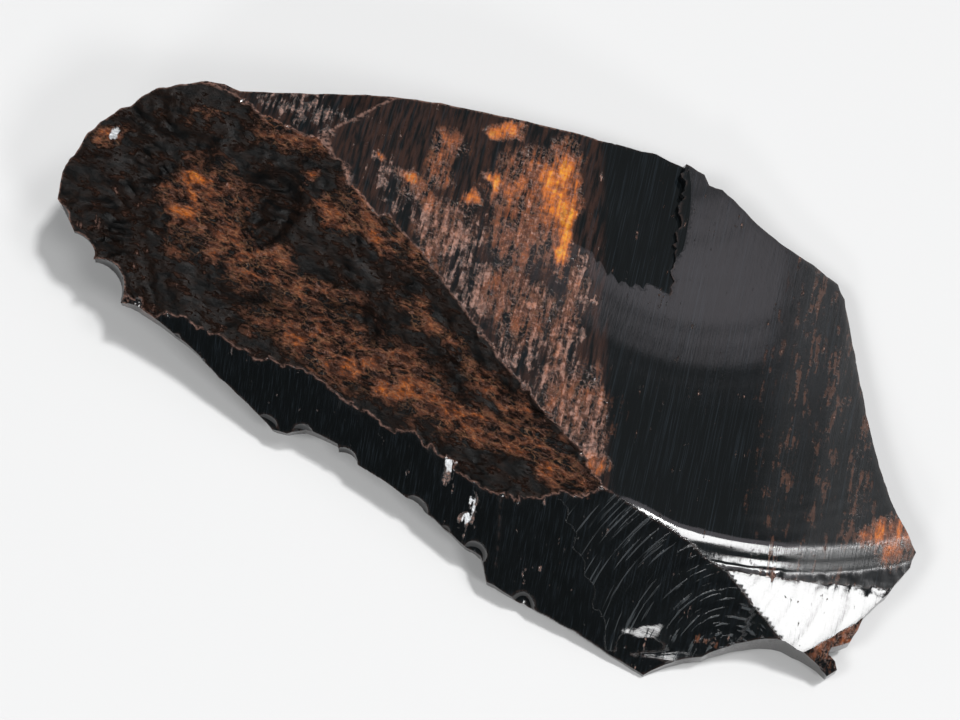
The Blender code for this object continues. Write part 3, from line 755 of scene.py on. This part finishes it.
def glass_finish(name, settings, hackly):
    """Obsidian: volcanic glass, broken and never polished.

    The melt froze as black glass with iron-rich bands, which give the eye
    mahogany and orange streaks.  A clean scar is as smooth as window glass;
    a hackly one is torn into tiny facets that scatter the light.
    """
    material = bpy.data.materials.new(name)
    material.use_nodes = True
    tree = material.node_tree
    shader = tree.nodes["Principled BSDF"]
    place = add(tree, "ShaderNodeTexCoord").outputs["Object"]
    millimetres = add(tree, "ShaderNodeMapping", {"Vector": place, "Scale": (1000.0,) * 3})
    spot = millimetres.outputs[0]
    # the hackly face tears along the piece: clots half as wide as long
    clotted = add(tree, "ShaderNodeMapping",
                  {"Vector": spot, "Scale": (1.7, 0.8, 0.9) if hackly else (1.0, 1.0, 1.0)},
                  vector_type="TEXTURE").outputs[0]
    # flow bands: 0.5 mm across, 4 mm along the flow, 2 mm in height
    flow = add(tree, "ShaderNodeMapping",
               {"Vector": spot, "Rotation": (0.0, 0.0, FLOW_TURN), "Scale": (0.5, 4.0, 2.0)},
               vector_type="TEXTURE").outputs[0]
    # fine drawn lines: 0.12 mm across, 14 mm along
    lines = add(tree, "ShaderNodeMapping",
                {"Vector": spot, "Rotation": (0.0, 0.0, FLOW_TURN), "Scale": (0.12, 14.0, 2.0)},
                vector_type="TEXTURE").outputs[0]

    iron = add(tree, "ShaderNodeAttribute", attribute_name="iron").outputs["Fac"]
    brown = add(tree, "ShaderNodeAttribute", attribute_name="brown").outputs["Fac"]
    frost_and_sheen = add(tree, "ShaderNodeAttribute", attribute_name="frost_and_sheen").outputs["Fac"]
    wear_and_glint = add(tree, "ShaderNodeAttribute", attribute_name="wear_and_glint").outputs["Fac"]
    combed = add(tree, "ShaderNodeAttribute", attribute_name="combed").outputs["Fac"]
    satin = add(tree, "ShaderNodeAttribute", attribute_name="satin").outputs["Fac"]

    struck = add(tree, "ShaderNodeAttribute", attribute_name="struck").outputs["Vector"]
    # lines that fan out from the blow: 0.02 radian apart, 8 mm long
    fan = add(tree, "ShaderNodeMapping", {"Vector": struck, "Scale": (50.0, 0.125, 1.0)})
    # fine rings round the blow, 0.5 mm apart, broken along their length
    rings = add(tree, "ShaderNodeMapping", {"Vector": struck, "Scale": (2.2, 3.0, 1.0)})

    clots = add(tree, "ShaderNodeTexNoise",
                {"Vector": clotted, "Scale": 0.75, "Detail": 5.0, "Roughness": 0.6,
                 "Distortion": 0.6}).outputs["Fac"]
    streaks = add(tree, "ShaderNodeTexNoise",
                  {"Vector": flow, "Scale": 1.0, "Detail": 5.0, "Roughness": 0.6}).outputs["Fac"]
    grain = add(tree, "ShaderNodeTexNoise",
                {"Vector": clotted, "Scale": 2.4, "Detail": 5.0, "Roughness": 0.6}).outputs["Fac"]
    drawn = add(tree, "ShaderNodeTexNoise",
                {"Vector": lines, "Scale": 1.0, "Detail": 4.0, "Roughness": 0.6}).outputs["Fac"]
    fanned = add(tree, "ShaderNodeTexNoise",
                 {"Vector": fan.outputs[0], "Scale": 1.0, "Detail": 4.0}).outputs["Fac"]
    ringed = add(tree, "ShaderNodeTexNoise",
                 {"Vector": rings.outputs[0], "Scale": 1.0, "Detail": 3.0}).outputs["Fac"]

    def calc(operation, first, second=0.5, third=0.5):
        return add(tree, "ShaderNodeMath", {0: first, 1: second, 2: third},
                   operation=operation).outputs[0]

    def between(value, low, high):
        return add(tree, "ShaderNodeMapRange", {0: value, 1: low, 2: high, 3: 0.0, 4: 1.0},
                   interpolation_type="SMOOTHSTEP").outputs[0]

    # how much iron shows: the patches, broken up by clots, streaks and grain
    shares = (1.5, 0.0, 0.9) if hackly else (0.8, 1.6, 0.5)
    broken = -sum(shares) / 2.0
    for texture, share in zip((clots, streaks, grain), shares):
        broken = calc("MULTIPLY_ADD", texture, share, broken)
    ground = calc("MULTIPLY", brown, 0.19 if hackly else 0.14)
    patch = calc("MULTIPLY_ADD", iron, 0.62 if hackly else 0.82, ground)
    shown = between(calc("ADD", patch, broken), 0.30, 0.44)
    richness = calc("MULTIPLY_ADD", broken, 0.6 if hackly else 0.8, patch)
    richness = calc("MINIMUM", richness, calc("MULTIPLY", patch, 1.5))
    tone = add(tree, "ShaderNodeValToRGB", {0: richness})
    set_ramp(tone, (
        (0.20, colour("#1E120D")), (0.42, colour("#38241B")), (0.58, tuple(settings.mahogany)),
        (0.80, tuple(settings.orange)), (1.0, tuple(settings.gold))))
    # the curds of the hackly face are strands round dark holes, about 1 mm across
    drift = add(tree, "ShaderNodeTexNoise", {"Vector": clotted, "Scale": 0.8, "Detail": 4.0})
    warped = add(tree, "ShaderNodeVectorMath",
                 {0: drift.outputs["Color"], 1: (2.4,) * 3, 2: clotted}, operation="MULTIPLY_ADD")
    cells = add(tree, "ShaderNodeTexVoronoi", {"Vector": warped.outputs[0], "Scale": 0.7},
                feature="DISTANCE_TO_EDGE").outputs["Distance"]
    holes = calc("MULTIPLY", between(cells, 0.10, 0.28), 0.80 if hackly else 0.35)
    strands = calc("MULTIPLY", between(cells, 0.07, 0.0), between(patch, 0.26, 0.5))
    # veins round the curds, about 1 mm apart: real relief and dullness, with a painted highlight as their pale colour
    folds = add(tree, "ShaderNodeTexNoise",
                {"Vector": clotted, "Scale": 1.15, "Detail": 4.0, "Roughness": 0.6,
                 "Distortion": 1.2}).outputs["Fac"]
    fold = calc("ABSOLUTE", calc("SUBTRACT", folds, 0.5))
    vein_and_sheen = calc("MULTIPLY", between(fold, 0.035, 0.0), between(patch, 0.24, 0.5))
    vein_and_sheen = calc("MULTIPLY", vein_and_sheen, between(grain, 0.36, 0.56))

    def mixed(share, first, second):
        return add(tree, "ShaderNodeMix", {0: share, 6: first, 7: second},
                   data_type="RGBA").outputs[2]

    # black glass, brownish where it holds iron, with drawn lines a shade paler
    stained = calc("MULTIPLY", brown, between(clots if hackly else streaks, 0.38, 0.62))
    ground_shade = mixed(stained, colour("#050505") if hackly else colour("#060809"),
                         colour("#160E0A") if hackly else colour("#2A1B16"))
    ground_shade = mixed(calc("MULTIPLY", between(drawn, 0.5, 0.72), 0.0 if hackly else 0.5), ground_shade,
                         colour("#20262B"))
    holed = mixed(holes, tone.outputs[0], colour("#1A0F0B"))
    bare = mixed(shown, ground_shade, holed)
    strand_share = calc("MULTIPLY", strands, 0.25 if hackly else 0.1)
    bare = mixed(strand_share, bare, colour("#A87A5A"))
    # painted highlight: the veins take the pale frosted colour, standing for light caught on the curds
    veined_with_sheen = mixed(calc("MULTIPLY", vein_and_sheen, 0.45), bare, tuple(settings.frost_and_sheen))

    # torn glass: short strokes along the flow, partly the paler colour of torn glass and partly painted sparkles
    # inside
    torn_by = calc("MULTIPLY_ADD", streaks, 1.8, calc("MULTIPLY_ADD", clots, 1.8, -1.8))
    torn = between(calc("MULTIPLY_ADD", frost_and_sheen, 0.55, torn_by), 0.44, 0.60)
    torn_and_sparkle = between(calc("MULTIPLY_ADD", streaks, 0.5, calc("MULTIPLY", grain, 0.8)),
                      0.62, 0.80)
    torn_and_sparkle = calc("MULTIPLY", torn, calc("MULTIPLY_ADD", torn_and_sparkle, 0.6, 0.10))
    shade = mixed(torn_and_sparkle, veined_with_sheen, tuple(settings.frost_and_sheen))
    # painted highlight: a pale line along the arrises, strongest on brown glass
    edge = calc("MULTIPLY", between(wear_and_glint, 0.6, 1.0), between(grain, 0.40, 0.6))
    edge = calc("MULTIPLY", edge, calc("MULTIPLY_ADD", brown, 0.35, 0.05))
    shade = mixed(edge, shade, tuple(settings.frost_and_sheen))
    # painted glints: white where the frost strength passes 1
    painted_glint = calc("MULTIPLY", torn, between(frost_and_sheen, 1.0, 1.15))
    shade = mixed(painted_glint, shade, colour("#D0D2D4"))

    # gloss: smooth glass, dulled where it is brown, torn or worn
    curds = calc("MAXIMUM", shown, vein_and_sheen)
    dull = calc("MULTIPLY_ADD", curds, 0.08 if hackly else 0.02,
                0.38 if hackly else settings.polish)
    dull = calc("MULTIPLY_ADD", torn, 0.16, dull)
    dull = calc("MULTIPLY_ADD", wear_and_glint, 0.08, dull)
    dull = calc("MULTIPLY_ADD", satin, 0.15, dull)
    tree.links.new(dull, shader.inputs["Roughness"])
    shader.inputs["IOR"].default_value = 1.5
    shader.inputs["Specular IOR Level"].default_value = 0.09 if hackly else 0.5

    # relief too fine for the mesh: curds, torn facets, and lines from the blow
    rough_share = calc("MULTIPLY_ADD", curds, 1.6 if hackly else 0.03,
                       0.4 if hackly else 0.004)
    rough_share = calc("MULTIPLY_ADD", torn, 1.5, rough_share)
    relief = calc("MULTIPLY", grain, rough_share)
    relief = calc("MULTIPLY_ADD", vein_and_sheen, 0.5 if hackly else 0.1, relief)
    if not hackly:
        # the lips of the fine rings: real bumps, with a painted grey highlight on them
        lips_and_sheen = calc("MULTIPLY", between(ringed, 0.58, 0.68), between(combed, 0.6, 1.0))
        relief = calc("MULTIPLY_ADD", fanned, calc("MULTIPLY_ADD", combed, 0.06, 0.01), relief)
        relief = calc("MULTIPLY_ADD", lips_and_sheen, 0.06, relief)
        relief = calc("MULTIPLY_ADD", drawn, calc("MULTIPLY_ADD", satin, 0.06, 0.015), relief)
        shade = mixed(calc("MULTIPLY", lips_and_sheen, 0.14), shade, colour("#7E8488"))
    tree.links.new(shade, shader.inputs["Base Color"])
    bump = add(tree, "ShaderNodeBump", {"Height": relief, "Strength": 1.0, "Distance": 0.0003})
    tree.links.new(bump.outputs[0], shader.inputs["Normal"])
    return material


# ---------------------------------------------------------------- the stage
STAGE_TURN = math.radians(26.0)     # the stage is turned this much from the stone's X axis
CAMERA_AIM = (-0.45, -4.9, 10.0)    # millimetres
CAMERA_BACK = (0.1355, -0.2777, 0.9511)
CAMERA_RIGHT = (0.8988, 0.4384, 0.0)
CAMERA_AWAY = 0.288


def stage_direction(x, y, z):
    """A direction given with X to the camera's right, as a stone-frame direction."""
    return Matrix.Rotation(STAGE_TURN, 3, "Z") @ Vector((x, y, z)).normalized()


def softbox(name, toward, distance, width, height, radiance, shade=(1.0, 1.0, 1.0)):
    """A soft panel that faces the stone and looks equally bright all over."""
    light = bpy.data.lights.new(name, "AREA")
    light.shape = "RECTANGLE"
    light.size = width
    light.size_y = height
    light.energy = radiance * math.pi * width * height
    light.color = shade
    item = bpy.data.objects.new(name, light)
    direction = stage_direction(*toward)
    aim = direction.to_track_quat("Z", "Y").to_matrix().to_4x4()
    item.matrix_world = Matrix.Translation(direction * distance) @ aim
    item.visible_camera = False
    bpy.context.scene.collection.objects.link(item)
    return item


def place_camera(lens):
    """The camera, looking down on the stone from the front."""
    camera = bpy.data.objects.new("camera", bpy.data.cameras.new("camera"))
    camera.data.lens = lens
    camera.data.sensor_width = 36.0
    camera.data.clip_start = 0.01
    back = Vector(CAMERA_BACK).normalized()
    right = Vector(CAMERA_RIGHT).normalized()
    turn = Matrix((right, back.cross(right), back)).transposed().to_4x4()
    away = Vector(CAMERA_AIM) * MM + back * CAMERA_AWAY
    camera.matrix_world = Matrix.Translation(away) @ turn
    bpy.context.scene.collection.objects.link(camera)
    bpy.context.scene.camera = camera


def pale_floor(shade):
    """A wide, plain sheet of pale card under the stone."""
    bm = bmesh.new()
    bmesh.ops.create_grid(bm, x_segments=8, y_segments=8, size=5.0)
    mesh = bpy.data.meshes.new("floor")
    bm.to_mesh(mesh)
    bm.free()
    floor = bpy.data.objects.new("floor", mesh)
    bpy.context.scene.collection.objects.link(floor)
    card = bpy.data.materials.new("pale_card")
    card.use_nodes = True
    tree = card.node_tree
    shader = tree.nodes["Principled BSDF"]
    shader.inputs["Base Color"].default_value = shade
    shader.inputs["Roughness"].default_value = 0.9
    shader.inputs["Specular IOR Level"].default_value = 0.0
    mesh.materials.append(card)
    return floor


def dim_room(low, high, backdrop):
    """A dim room for the glass to mirror, lighter overhead, with a pale backdrop."""
    world = bpy.data.worlds.new("room")
    world.use_nodes = True
    bpy.context.scene.world = world
    tree = world.node_tree
    room = tree.nodes["Background"]
    place = add(tree, "ShaderNodeTexCoord").outputs["Generated"]
    height = add(tree, "ShaderNodeSeparateXYZ", {0: place}).outputs[2]
    glow = add(tree, "ShaderNodeMapRange", {0: height, 1: 0.15, 2: 0.75, 3: low, 4: high},
               interpolation_type="SMOOTHSTEP").outputs[0]
    room.inputs["Color"].default_value = (0.92, 0.97, 1.0, 1.0)
    tree.links.new(glow, room.inputs["Strength"])
    pale = add(tree, "ShaderNodeBackground", {"Color": backdrop, "Strength": 1.0})
    path = add(tree, "ShaderNodeLightPath")
    mix = add(tree, "ShaderNodeMixShader", {0: path.outputs["Is Camera Ray"],
                                            1: room.outputs[0], 2: pale.outputs[0]})
    tree.links.new(mix.outputs[0], tree.nodes["World Output"].inputs["Surface"])


# -------------------------------------------------------- settings and tools
class ObsidianStoneSettings(bpy.types.PropertyGroup):
    """Sizes and colours of the stone."""
    step_top: bpy.props.FloatProperty(
        name="Scar mesh step", description="Mesh step on the upper scars",
        default=0.00042, min=0.0002, unit="LENGTH")
    step_rough: bpy.props.FloatProperty(
        name="Hackle mesh step", description="Mesh step on the hackly mahogany face",
        default=0.00034, min=0.0002, unit="LENGTH")
    step_under: bpy.props.FloatProperty(
        name="Underside mesh step", description="Mesh step on the scars below the rim",
        default=0.0009, min=0.0002, unit="LENGTH")
    ring_strength: bpy.props.FloatProperty(
        name="Ring strength", description="Height of the rings that spread from each blow",
        default=0.25, min=0.0, max=3.0, subtype="FACTOR")
    nicks: bpy.props.IntProperty(
        name="Nicks", description="Tiny chips along the arrises", default=130, min=0)
    polish: bpy.props.FloatProperty(
        name="Glass roughness", description="Roughness of a clean scar",
        default=0.075, min=0.0, max=1.0, subtype="FACTOR")
    mahogany: bpy.props.FloatVectorProperty(
        name="Mahogany", description="Iron-stained glass", size=4, subtype="COLOR",
        default=colour("#5A3322"))
    orange: bpy.props.FloatVectorProperty(
        name="Orange", description="Glass rich in iron", size=4, subtype="COLOR",
        default=colour("#A3561F"))
    gold: bpy.props.FloatVectorProperty(
        name="Gold", description="The richest clots", size=4, subtype="COLOR",
        default=colour("#BE8228"))
    # the colour of torn glass, also used for the painted highlights on the veins, sparkles and arrises
    frost_and_sheen: bpy.props.FloatVectorProperty(
        name="Frosted glass", description="Torn glass that scatters the light", size=4,
        subtype="COLOR", default=colour("#967468"))


class ObsidianStageSettings(bpy.types.PropertyGroup):
    """Floor, light and camera."""
    card: bpy.props.FloatVectorProperty(
        name="Floor", description="Colour of the card", size=4, subtype="COLOR",
        default=(0.475, 0.475, 0.475, 1.0))
    key: bpy.props.FloatProperty(
        name="Key light", description="Strength of the broad light from the right",
        default=2.7, min=0.0)
    room_low: bpy.props.FloatProperty(
        name="Room, low", description="Glow of the dim room near the floor",
        default=0.06, min=0.0)
    room_high: bpy.props.FloatProperty(
        name="Room, high", description="Glow of the dim room overhead",
        default=0.20, min=0.0)
    lens: bpy.props.FloatProperty(
        name="Lens", description="Focal length in millimetres", default=100.0, min=20.0,
        unit="CAMERA")


class ObsidianStone(bpy.types.Operator):
    """Strike the stone, give it its glass and let it stand for the CAD solid"""
    bl_idname = "obsidian.stone"
    bl_label = "Struck stone"

    def execute(self, context):
        settings = context.scene.obsidian_stone
        stone = struck_stone(settings)
        stone.data.materials.append(glass_finish("struck_glass", settings, False))
        stone.data.materials.append(glass_finish("hackly_mahogany", settings, True))
        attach(stone, "root")
        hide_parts(NODE)
        return {"FINISHED"}


class ObsidianStage(bpy.types.Operator):
    """Lay the pale floor and set up the room, the lights and the camera"""
    bl_idname = "obsidian.stage"
    bl_label = "Stage"

    def execute(self, context):
        settings = context.scene.obsidian_stage
        pale_floor(tuple(settings.card))
        dim_room(settings.room_low, settings.room_high, colour("#F1F1F1"))
        key = bpy.data.objects.new("key", bpy.data.lights.new("key", "SUN"))
        key.data.energy = settings.key
        key.data.angle = math.radians(6.0)
        direction = stage_direction(0.34, 0.16, 0.93)
        key.matrix_world = direction.to_track_quat("Z", "Y").to_matrix().to_4x4()
        context.scene.collection.objects.link(key)
        softbox("tail_box", (0.48, -0.49, 0.73), 1.2, 0.26, 0.24, 25.0)
        softbox("foot_box", (-0.45, -0.22, 0.87), 1.2, 0.30, 0.30, 20.0)
        softbox("low_box", (-0.37, -0.71, 0.60), 1.2, 0.24, 0.18, 18.0)
        softbox("ridge_strip", (0.485, 0.0, 0.875), 1.15, 0.21, 0.22, 24.0)
        softbox("grey_panel", (0.53, 0.25, 0.81), 1.2, 0.44, 0.42, 1.35, (1.0, 0.92, 1.0))
        context.scene.view_settings.view_transform = "Standard"
        place_camera(settings.lens)
        return {"FINISHED"}


class ObsidianPanel(bpy.types.Panel):
    """The stone's tools"""
    bl_idname = "VIEW3D_PT_obsidian"
    bl_label = "Obsidian chunk"
    bl_space_type = "VIEW_3D"
    bl_region_type = "UI"
    bl_category = "Obsidian"

    def draw(self, context):
        for tool, group in ((ObsidianStone, context.scene.obsidian_stone),
                            (ObsidianStage, context.scene.obsidian_stage)):
            box = self.layout.box()
            box.operator(tool.bl_idname)
            for key in group.__annotations__:
                box.prop(group, key)


CLASSES = (ObsidianStoneSettings, ObsidianStageSettings, ObsidianStone, ObsidianStage,
           ObsidianPanel)


def register():
    for cls in CLASSES:
        bpy.utils.register_class(cls)
    bpy.types.Scene.obsidian_stone = bpy.props.PointerProperty(type=ObsidianStoneSettings)
    bpy.types.Scene.obsidian_stage = bpy.props.PointerProperty(type=ObsidianStageSettings)


def unregister():
    del bpy.types.Scene.obsidian_stage
    del bpy.types.Scene.obsidian_stone
    for cls in reversed(CLASSES):
        bpy.utils.unregister_class(cls)


def main():
    register()
    bpy.ops.obsidian.stone()
    bpy.ops.obsidian.stage()


if __name__ == "__main__":
    main()
